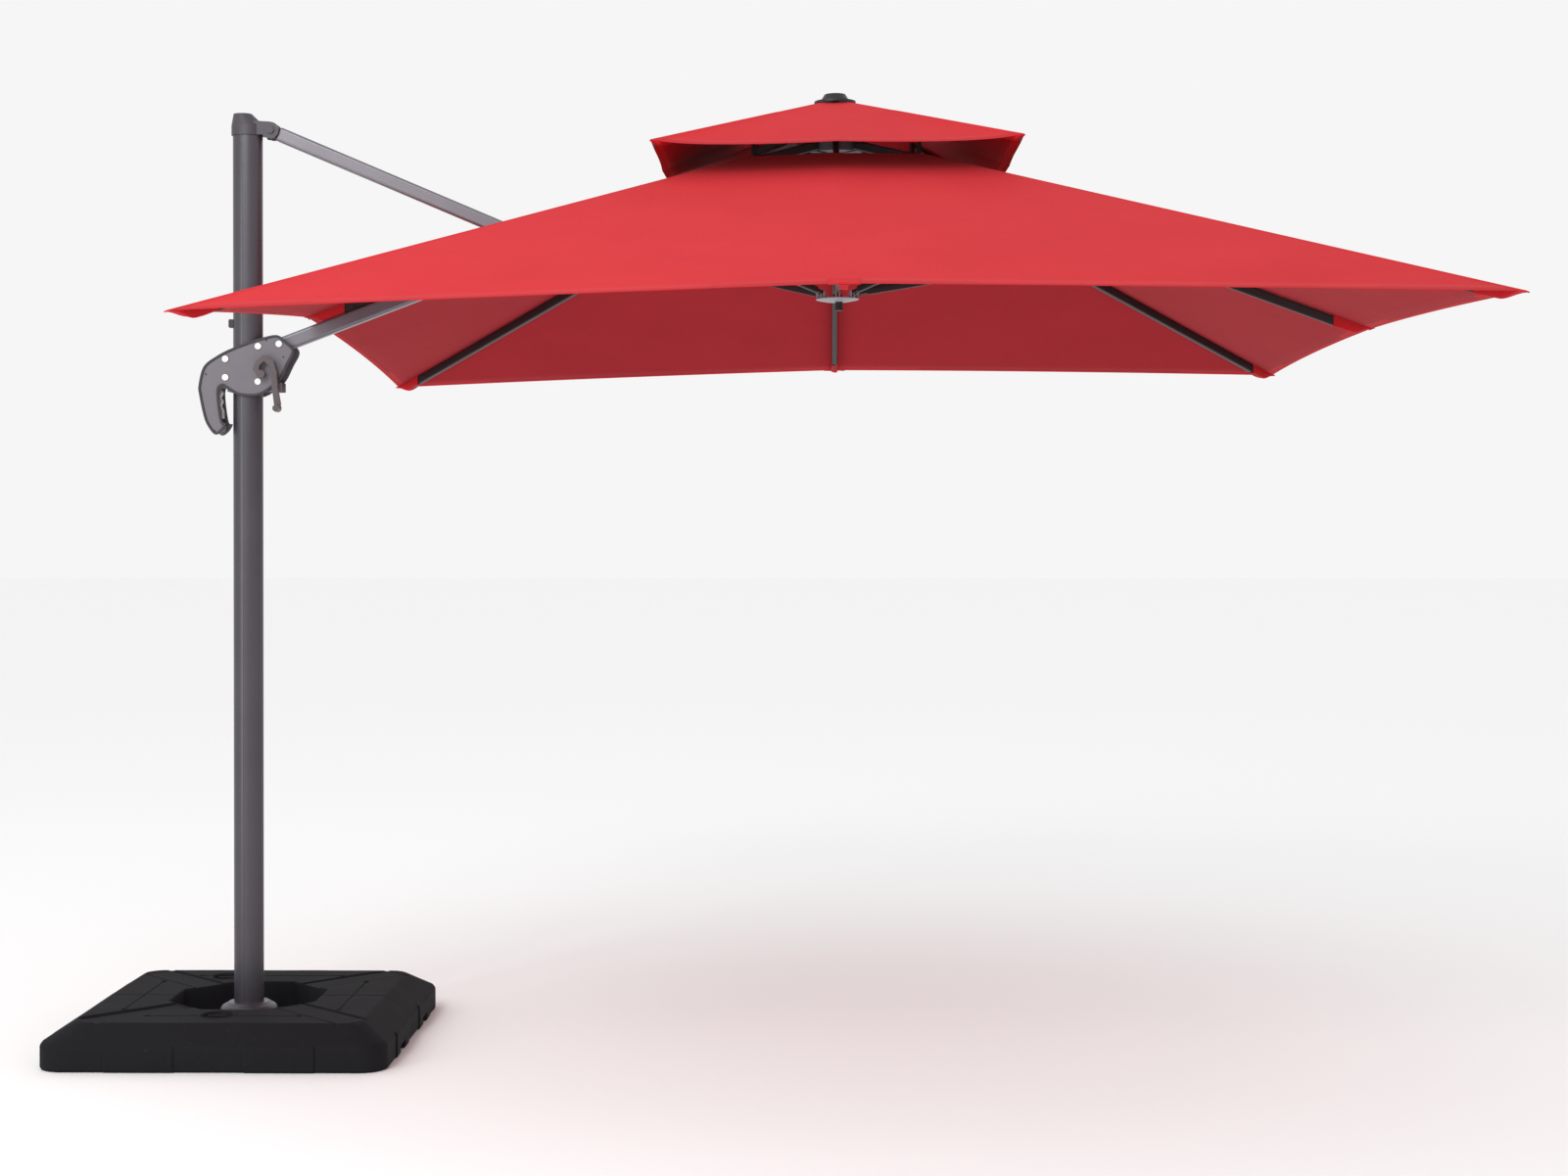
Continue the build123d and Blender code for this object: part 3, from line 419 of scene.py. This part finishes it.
def give_hem(piece, reach):
    """The folded edge of the sheet is the same cloth, double."""
    piece.data.materials.append(hem_cloth)
    last = len(piece.data.materials) - 1
    for face in piece.data.polygons:
        place = face.center - hub
        if max(abs(place.dot(hub_x_dir)), abs(place.dot(hub_y_dir))) > reach - HEM * 1.05:
            face.material_index = last


def gather(piece):
    """Give a cloth piece its own copy of its mesh."""
    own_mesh(piece)


def rib_place(angle, r, height):
    """Place on a rib line at plan distance r, and the way across the rib."""
    out, side = rib_ways(angle)
    return hub + out * r + hub_up * height, side


def rib_pocket(angle, body):
    """Sewn cloth sleeve that holds the tip of a rib and tapers to the hem."""
    corner = angle % 90 != 0
    reach = SQUARE * (sqrt(2) if corner else 1)
    slope = tan(radians(16.0)) if corner else SIDE_SLOPE
    long = 0.125 if corner else 0.108
    rounds, steps = 32, 18
    points = []
    for i in range(steps + 1):
        t = i / steps
        r = reach - long + (long - 0.001) * t
        taper = 1 - step(t, 0.72, 0.56)
        wide = 0.0092 + 0.0016 * (1 - t) + 0.004 * (1 - taper)
        deep = 0.0035 + 0.0285 * taper
        top = side_height(angle, r) if not corner else -r * slope
        place, side = rib_place(angle, r, top - 0.0006)
        for j in range(rounds):
            turn = 2 * pi * j / rounds
            square = 1 / max(abs(cos(turn)), abs(sin(turn)))**0.72
            across = sin(turn) * square
            down = (1 - cos(turn) * square) / 2
            fold = 1 + 0.05 * sin(9 * t + 2 * turn + angle) * down
            points.append(place + side * (wide * across * fold) - hub_up * (deep * down * fold))
    faces = grid_faces(steps + 1, rounds, True)
    end = steps * rounds
    faces.append([end + j for j in range(rounds)])
    piece = mesh_piece(f"rib_pocket_{angle:03d}", points, faces, pocket_cloth)
    double_cloth(piece, 1)
    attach(piece, body)
    return piece


def hem_patch(angle, body):
    """Double square of cloth sewn over a side rib's tip, folded down over the hem."""
    across_count, down_count = 12, 10
    out = rib_ways(angle)[0]
    points = []
    for i in range(down_count + 1):
        t = i / down_count
        u = SQUARE - 0.034 + 0.0362 * min(1.0, t / 0.7)
        drop = 0.004 * max(0.0, t - 0.7) / 0.3
        for j in range(across_count + 1):
            x = -0.036 + 0.072 * j / across_count
            lift = 0.0018 + 0.0005 * sin(5 * x / 0.036 + 3 * t) * t
            points.append(main_point(angle, min(u, SQUARE), x / u) + hub_up * (lift - drop)
                          + (u - min(u, SQUARE)) * out)
    piece = mesh_piece(f"hem_patch_{angle:03d}", points,
                       grid_faces(down_count + 1, across_count + 1), pocket_cloth)
    face_up(piece)
    double_cloth(piece, -1)
    stitches = []
    for row in (-0.032, 0.032):
        for k in range(7):
            u = SQUARE - 0.031 + 0.0040 * k
            stitches.append(main_point(angle, u, row / u) + hub_up * 0.0040)
    thread = stitch_row(f"hem_patch_thread_{angle:03d}", stitches, angle)
    for sewn in (piece, thread):
        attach(sewn, body)
    return [piece, thread]


def stitch_row(name, places, angle):
    """Short raised stitches at these places, along the rib's way."""
    out, side = rib_ways(angle)
    points, faces = [], []
    for place in places:
        start = len(points)
        for along, across, up in ((-1, 0, 0), (0, -1, 0), (0, 0, 1), (0, 1, 0), (1, 0, 0)):
            points.append(place + out * along * 0.0014 + side * across * 0.0005
                          + hub_up * up * 0.0005)
        faces += [(start, start + 1, start + 2), (start, start + 2, start + 3),
                  (start + 4, start + 2, start + 1), (start + 4, start + 3, start + 2)]
    return mesh_piece(name, points, faces, pocket_cloth)


main_panels = []
for angle, body in RIBS.items():
    sheet = panel(f"canopy_cloth_{angle:03d}", angle, 48, 20, SQUARE, OPENING, main_point)
    if angle == 180:
        mast_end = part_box("strut_fork")[0][0]
        outer_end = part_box("elbow_bracket")[1][0]
        open_slot(sheet, mast_end - 0.005, outer_end + 0.010, 0.034)
    face_up(sheet)
    thicken(sheet, cloth_in_painted_shade)
    give_hem(sheet, SQUARE)
    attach(sheet, body)
    sewn = [rib_pocket(angle, body)]
    if angle % 90 == 0:
        sewn += hem_patch(angle, body)
    main_panels.append((sheet, sewn, angle))
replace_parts(main_panels[0][0], "canopy_main")
for sheet, sewn, angle in main_panels:
    gather(sheet)

# ------------------------------------------------------------------ vent canopy
VENT = 0.490
VENT_TOP = 0.082
VENT_START = 0.040
VENT_EDGE = -0.097      # height of the level edge in the crown's frame
VENT_TIP = -0.086       # the corners flick up a little
CAP_EDGE = 0.165


def vent_point(side, u, v):
    way = 1 if v >= 0 else -1
    a = abs(v)
    share = (u - VENT_START) / (VENT - VENT_START)
    edge = VENT_EDGE + (VENT_TIP - VENT_EDGE) * a**8
    w = VENT_TOP + (edge - VENT_TOP) * share - sag(share, a, 0.004)
    c, s = cos(radians(side)), sin(radians(side))
    x = u - 0.006 * 4 * a * (1 - a) * share**3
    y = way * u * a
    return in_hub(x * c - y * s, x * s + y * c, w)


def vent_point_low(side, u, v):
    """The panels pass just under the crown's cap."""
    under = 0.0022 * max(0.0, 1 - max(0.0, u - CAP_EDGE + 0.03) / 0.03)
    return vent_point(side, u, v) - hub_up * under


def vent_pocket(angle):
    """Sewn corner of the upper canopy that the arm's tip sits in."""
    reach = VENT * sqrt(2)
    slope = (VENT_TOP - VENT_EDGE) / (VENT - VENT_START) / sqrt(2)
    rounds, steps = 20, 10
    points = []
    for i in range(steps + 1):
        t = i / steps
        r = reach - 0.070 + 0.070 * t
        close = 1 - step(t, 0.82, 0.36)
        wide = 0.004 + 0.009 * close + 0.012 * (1 - t) * t
        deep = 0.003 + 0.017 * close
        top = VENT_TIP + (reach - r) * slope * 0.86 - 0.0012
        place, side = rib_place(angle, r, top)
        for j in range(rounds):
            turn = 2 * pi * j / rounds
            down = (1 - cos(turn)) / 2
            points.append(place + side * (wide * sin(turn)) - hub_up * (deep * down))
    faces = grid_faces(steps + 1, rounds, True)
    faces.append([steps * rounds + j for j in range(rounds)])
    piece = mesh_piece(f"vent_pocket_{angle:03d}", points, faces, pocket_cloth)
    return piece


vent_panels = []
for angle, body in RIBS.items():
    sheet = panel(f"vent_cloth_{angle:03d}", angle, 20, 8, VENT, 0.130, vent_point_low)
    face_up(sheet)
    thicken(sheet, cloth_in_painted_shade)
    give_hem(sheet, VENT)
    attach(sheet, body)
    if angle % 90:
        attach(vent_pocket(angle), body)
    vent_panels.append((sheet, angle))

# Crown cap of the vent, all eight sectors in one piece that stays with the crown
cap_points = []
COLUMNS = 64
for i in range(9):
    u = VENT_START + (CAP_EDGE - VENT_START) * i / 8
    for j in range(COLUMNS):
        turn = 8 * j / COLUMNS
        side = round(turn / 2) * 90
        v = turn - side / 45
        cap_points.append(vent_point(side % 360, u, v))
vent_cap = mesh_piece("vent_cloth_crown_cap", cap_points, grid_faces(9, COLUMNS, True), cloth_out)
face_up(vent_cap)
thicken(vent_cap, cloth_in_painted_shade)
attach(vent_cap, "crown")
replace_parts(vent_cap, "canopy_vent")
for sheet, angle in vent_panels:
    gather(sheet)

# ------------------------------------------------------------------ base tanks
BASE = 0.470            # half the side of the base
BASE_CORNER = 0.070
PLATEAU = 0.388         # half the side of the flat top
PLATEAU_CORNER = 0.050
TOP = float(tank_top)
RIM = 0.066
WELL = 0.205            # from the middle to the well's flats
STRAP = 0.046           # half the width of a diagonal strap
CREASE = 0.296          # half the side of the square crease
PANEL_JOINTS = (0.094, 0.282)
FILL_CAPS = ((-0.020, -0.282), (-0.130, 0.282))
HAND_HOLD = (0.188, 0.035, 0.024)      # place along the side, half its width and its height


def square_ray(theta, half, corner):
    """Distance from the middle to a rounded square's edge in the direction theta."""
    c, s = abs(cos(theta)), abs(sin(theta))
    r = half / max(c, s)
    if min(r * c, r * s) > half - corner:
        along = (half - corner) * (c + s)
        r = along + sqrt(max(0.0, along**2 - (2 * (half - corner)**2 - corner**2)))
    return r


def octagon_ray(theta):
    return WELL / cos((theta + pi / 8) % (pi / 4) - pi / 8)


def line_dip(d, half, soft=0.004):
    """1 on a line of this half width, 0 beside it."""
    return 1 - step(abs(d), half, soft)


def top_relief(x, y):
    """How far the moulded top stands above or below its plane."""
    along = (abs(x) + abs(y)) / sqrt(2)
    off = (abs(x) - abs(y)) / sqrt(2)
    inside = 1 - step(along, 0.505, 0.010)
    lowered = 0.0055 if x < 0 and y < 0 else 0.0025
    z = -lowered * line_dip(off, STRAP) * inside
    z -= 0.0075 * line_dip(abs(off) - STRAP, 0.0042) * inside
    square = max(abs(x), abs(y))
    z -= 0.0038 * line_dip(square - CREASE, 0.0024) * step(abs(off), STRAP + 0.012, 0.006)
    for way in (-1, 1):
        for a, b in ((abs(x), abs(y)), (abs(y), abs(x))):
            z -= 0.0035 * line_dip(hypot(a - CREASE, b - CREASE + 0.09), 0.008) / 2
    z -= 0.0035 * line_dip(y, 0.0012, 0.004)
    for cap_x, cap_y in FILL_CAPS:
        z -= 0.014 * (1 - step(hypot(x - cap_x, y - cap_y), 0.040, 0.003))
        z += 0.0020 * line_dip(hypot(x - cap_x, y - cap_y) - 0.047, 0.003)
    z += 0.0006 * noise.noise(Vector((x * 9, y * 9, 0.3)))
    return z


def rim_push(theta, r, z):
    """How far the rim's panels, joints and hand holds stand inwards."""
    x, y = r * cos(theta), r * sin(theta)
    run = y if abs(x) > abs(y) else x
    first, second = PANEL_JOINTS
    proud = step(abs(run), first, 0.004) * (1 - step(abs(run), second, 0.004))
    push = 0.0048 * (1 - proud)
    for place in PANEL_JOINTS:
        push += 0.0016 * line_dip(abs(run) - place, 0.0012, 0.003)
    where, half, high = HAND_HOLD
    if abs(x) > abs(y) and z < high:
        push += 0.024 * (1 - step(abs(abs(run) - where), half, 0.006))
    return push


def tank_half(name, first, last):
    """Blow-moulded half base as rings from its outer foot over the top and down the well."""
    columns = 620
    rows = []
    for i in range(columns + 1):
        theta = first + (last - first) * i / columns
        outer = square_ray(theta, BASE, BASE_CORNER)
        inner = square_ray(theta, PLATEAU, PLATEAU_CORNER)
        well = octagon_ray(theta)
        profile = [(outer - 0.012, 0.0), (outer - 0.0035, 0.0016), (outer, 0.007)]
        profile += [(outer, z) for z in (0.012, 0.0225, 0.0255, 0.034, 0.044, 0.054, 0.060)]
        profile = [(r - rim_push(theta, outer, z), z) for r, z in profile]
        lift = 0.0024 - 0.9 * rim_push(theta, outer, 1.0)
        profile += [(outer - 0.0008 - rim_push(theta, outer, 1.0), RIM - 0.002 + lift),
                    (outer - 0.0045 - max(0.0, -lift), RIM + 0.0008 + lift)]
        for k in range(1, 13):
            t = k / 13
            profile.append((outer + (inner - outer) * (0.05 + 0.95 * t),
                            RIM + 0.003 + (TOP - RIM - 0.003) * (t - 0.006 * sin(pi * t))))
        flat = 64
        for k in range(flat + 1):
            r = inner + (well + 0.004 - inner) * k / flat
            x, y = r * cos(theta), r * sin(theta)
            profile.append((r, TOP - 0.0008 * (k == 0) + top_relief(x, y)))
        profile += [(well + 0.0012, TOP - 0.0014), (well, TOP - 0.005), (well, 0.085),
                    (well, 0.05), (well, 0.02), (well, 0.001)]
        rows.append([Vector((r * cos(theta), r * sin(theta), z)) for r, z in profile])
    side = -1 if first >= pi else 1
    points = []
    for row in rows:
        for p in row:
            if side * p.y < 0.0004:
                p.y = side * 0.0004
            points.append(p)
    wide = len(rows[0])
    faces = grid_faces(len(rows), wide)
    faces.append(list(range(wide)))
    faces.append([len(points) - 1 - k for k in range(wide)])
    piece = mesh_piece(name, points, faces, tank_plastic)
    for face in piece.data.polygons[-2:]:
        face.use_smooth = False
    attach(piece, "foot")
    return piece


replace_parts(tank_half("tank_shell_front", pi, 2 * pi), "base_tank_front")
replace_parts(tank_half("tank_shell_back", 0, pi), "base_tank_back")

# ------------------------------------------------------------------ slider housing
HOUSE = [(-39.5, 1947), (10, 1966), (42, 1976), (88, 1985), (112, 1970), (138, 1941),
         (120, 1900), (99, 1859), (72, 1834), (42, 1816), (12, 1812), (-20, 1816),
         (-41, 1827), (-58, 1838), (-66, 1841), (-74, 1830), (-72, 1790), (-64, 1742),
         (-53, 1736), (-66, 1714), (-85, 1705), (-104, 1726), (-117, 1756),
         (-130, 1817), (-131.5, 1845), (-117, 1897), (-79, 1927)]
SCREWS = [(60, 1970), (108, 1923), (-111, 1875), (-123, 1794), (-87, 1715)]
CRANK_HOLE = (49, 1874, 5.6)
SHELL_IN, SHELL_OUT = 32, 38


def smooth_loop(points, per_step=8):
    """A closed smooth curve through the points."""
    loop = []
    count = len(points)
    for i in range(count):
        a, b, c, d = (Vector(points[(i + k) % count]) for k in (-1, 0, 1, 2))
        for j in range(per_step):
            t = j / per_step
            loop.append(0.5 * (2 * b + (c - a) * t + (2 * a - 5 * b + 4 * c - d) * t**2
                               + (3 * b - a - 3 * c + d) * t**3))
    return loop


def inset(loop, amount):
    """The loop drawn in by an amount, without the points that would cross."""
    drawn = []
    count = len(loop)
    turn = sum(loop[i].x * loop[(i + 1) % count].y - loop[(i + 1) % count].x * loop[i].y
               for i in range(count))
    way = 1 if turn > 0 else -1
    for i, p in enumerate(loop):
        run = (loop[(i + 1) % count] - loop[i - 1]).normalized()
        q = p + Vector((-run.y, run.x)) * amount * way
        if min((q - other).length for other in loop) > amount * 0.985:
            drawn.append(q)
    return drawn


def plate(name, loops, low, high, bevel, material, side):
    """A flat plate with rounded edges from loops in millimetres, on one side of the mast."""
    curve = bpy.data.curves.new(name, "CURVE")
    curve.dimensions = "2D"
    curve.fill_mode = "BOTH"
    curve.extrude = (high - low) / 2 * MM - bevel * MM
    curve.bevel_depth = bevel * MM
    curve.bevel_resolution = 3
    curve.offset = -bevel * MM
    for loop in loops:
        spline = curve.splines.new("POLY")
        spline.points.add(len(loop) - 1)
        for point, place in zip(spline.points, loop):
            point.co = (place[0] * MM, place[1] * MM, 0, 1)
        spline.use_cyclic_u = True
    drawn = bpy.data.objects.new(name, curve)
    bpy.context.scene.collection.objects.link(drawn)
    graph = bpy.context.evaluated_depsgraph_get()
    graph.update()
    data = bpy.data.meshes.new_from_object(drawn.evaluated_get(graph))
    bpy.data.objects.remove(drawn)
    data.transform(Matrix.Translation((0, side * (low + high) / 2 * MM, 0))
                   @ Matrix.Rotation(radians(90), 4, "X"))
    data.materials.clear()
    data.materials.append(material)
    piece = bpy.data.objects.new(name, data)
    bpy.context.scene.collection.objects.link(piece)
    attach(piece, "slider")
    return piece


def circle(x, y, radius, count=28):
    return [Vector((x + radius * cos(2 * pi * k / count), y + radius * sin(2 * pi * k / count)))
            for k in range(count)]


house_loop = smooth_loop(HOUSE)
for side, node in ((-1, "slider_shell_front"), (1, "slider_shell_back")):
    word = node.rsplit("_", 1)[1]
    face = plate(f"housing_plate_{word}", [inset(house_loop, 1.0), circle(*CRANK_HOLE)],
                 SHELL_IN, SHELL_OUT - 1.6, 0.4, housing, side)
    plate(f"housing_rim_{word}", [house_loop, inset(house_loop, 7.0)], SHELL_IN + 1,
          SHELL_OUT + 1.4, 1.4, housing_rim, side)
    # Black discs at the screws: painted shade of the recessed screw holes.
    plate(f"housing_screw_hole_shade_discs_{word}", [circle(x, y, 2.7) for x, y in SCREWS],
          SHELL_OUT - 2.4, SHELL_OUT - 1.2, 0.1, nylon, side)
    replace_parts(face, node)

# ------------------------------------------------------------------ runner under the crown
RUNNER_BASE = -0.474
PIN_R = 0.058


def lathe(name, profile, material, centre_height, count=72):
    """A turned shape about the crown's axis from (radius, height) pairs in metres."""
    points = []
    for r, w in profile:
        for k in range(count):
            turn = 2 * pi * k / count
            points.append(in_hub(r * cos(turn), r * sin(turn), w + centre_height))
    faces = grid_faces(len(profile), count, True)
    faces.append(list(range(count))[::-1])
    faces.append([(len(profile) - 1) * count + k for k in range(count)])
    return mesh_piece(name, points, faces, material)


dish = [(0.016, 0.0), (0.030, 0.0), (0.0345, 0.0006), (0.054, 0.0045), (0.0600, 0.0062),
        (0.0610, 0.0076), (0.0606, 0.0092), (0.0590, 0.0100), (0.0560, 0.0100),
        (0.0545, 0.0088), (0.0260, 0.0088), (0.0200, 0.0110), (0.0150, 0.0190),
        (0.0095, 0.0240), (0.0082, 0.0280), (0.0080, 0.0700), (0.0072, 0.0735)]
runner_ring = lathe("runner_ring", dish, runner_grey, RUNNER_BASE)
lugs, lug_faces = [], []
for turn in range(8):
    angle = radians(45 * turn)
    for side in (-1, 1):
        profile = [(-0.007, 0.0085), (0.002, 0.0085)]
        profile += [(0.0035 * cos(radians(a)), 0.024 + 0.0045 * sin(radians(a)))
                    for a in range(0, 181, 20)]
        profile.append((-0.0075, 0.020))
        start = len(lugs)
        for across in (0.0042, 0.0062):
            for r, w in profile:
                x, y = PIN_R + r, side * across
                lugs.append(in_hub(x * cos(angle) - y * sin(angle),
                                   x * sin(angle) + y * cos(angle), RUNNER_BASE + w))
        n = len(profile)
        lug_faces.append([start + k for k in range(n)])
        lug_faces.append([start + n + k for k in range(n)][::-1])
        for k in range(n):
            m = (k + 1) % n
            lug_faces.append([start + k, start + m, start + n + m, start + n + k])
runner_lugs = mesh_piece("runner_lugs", lugs, lug_faces, runner_grey, smooth=False)
for piece in (runner_ring, runner_lugs):
    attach(piece, "runner")
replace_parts(runner_ring, "runner")

# ------------------------------------------------------------------ floor, light and camera
floor = mesh_piece("patio_floor", [(-60, -60, 0), (60, -60, 0), (60, 60, 0), (-60, 60, 0)],
                   [(0, 1, 2, 3)], None, smooth=False)
floor_paint, _, _ = new_material("floor_matt_pale", "#FCFCFC", 0.95)
floor.data.materials.append(floor_paint)

world = bpy.data.worlds.new("studio")
world.use_nodes = True
world.node_tree.nodes["Background"].inputs["Color"].default_value = linear("#FFFFFF")
world.node_tree.nodes["Background"].inputs["Strength"].default_value = 0.92
bpy.context.scene.world = world
bpy.context.scene.view_settings.view_transform = "Standard"


def softbox(name, place, aim, size, watts):
    light = bpy.data.lights.new(name, "AREA")
    light.shape = "RECTANGLE"
    light.size, light.size_y = size
    light.energy = watts
    thing = bpy.data.objects.new(name, light)
    thing.location = place
    thing.rotation_euler = (Vector(aim) - Vector(place)).to_track_quat("-Z", "Y").to_euler()
    bpy.context.scene.collection.objects.link(thing)


softbox("key", (-1.2, -5.5, 5.2), (1.2, 0, 2.0), (2.2, 3), 170)
softbox("strip", (-2.6, -4.2, 1.6), (0, 0, 1.4), (0.5, 3.4), 60)

camera_data = bpy.data.cameras.new("view")
camera_data.lens = 55.97
camera_data.sensor_width = 36
camera_data.shift_y = -0.0288
camera = bpy.data.objects.new("view", camera_data)
camera.location = (1.6086, -6.880, 1.448)
camera.rotation_euler = (radians(90 - 0.40), 0, radians(0.77))
bpy.context.scene.collection.objects.link(camera)
bpy.context.scene.camera = camera
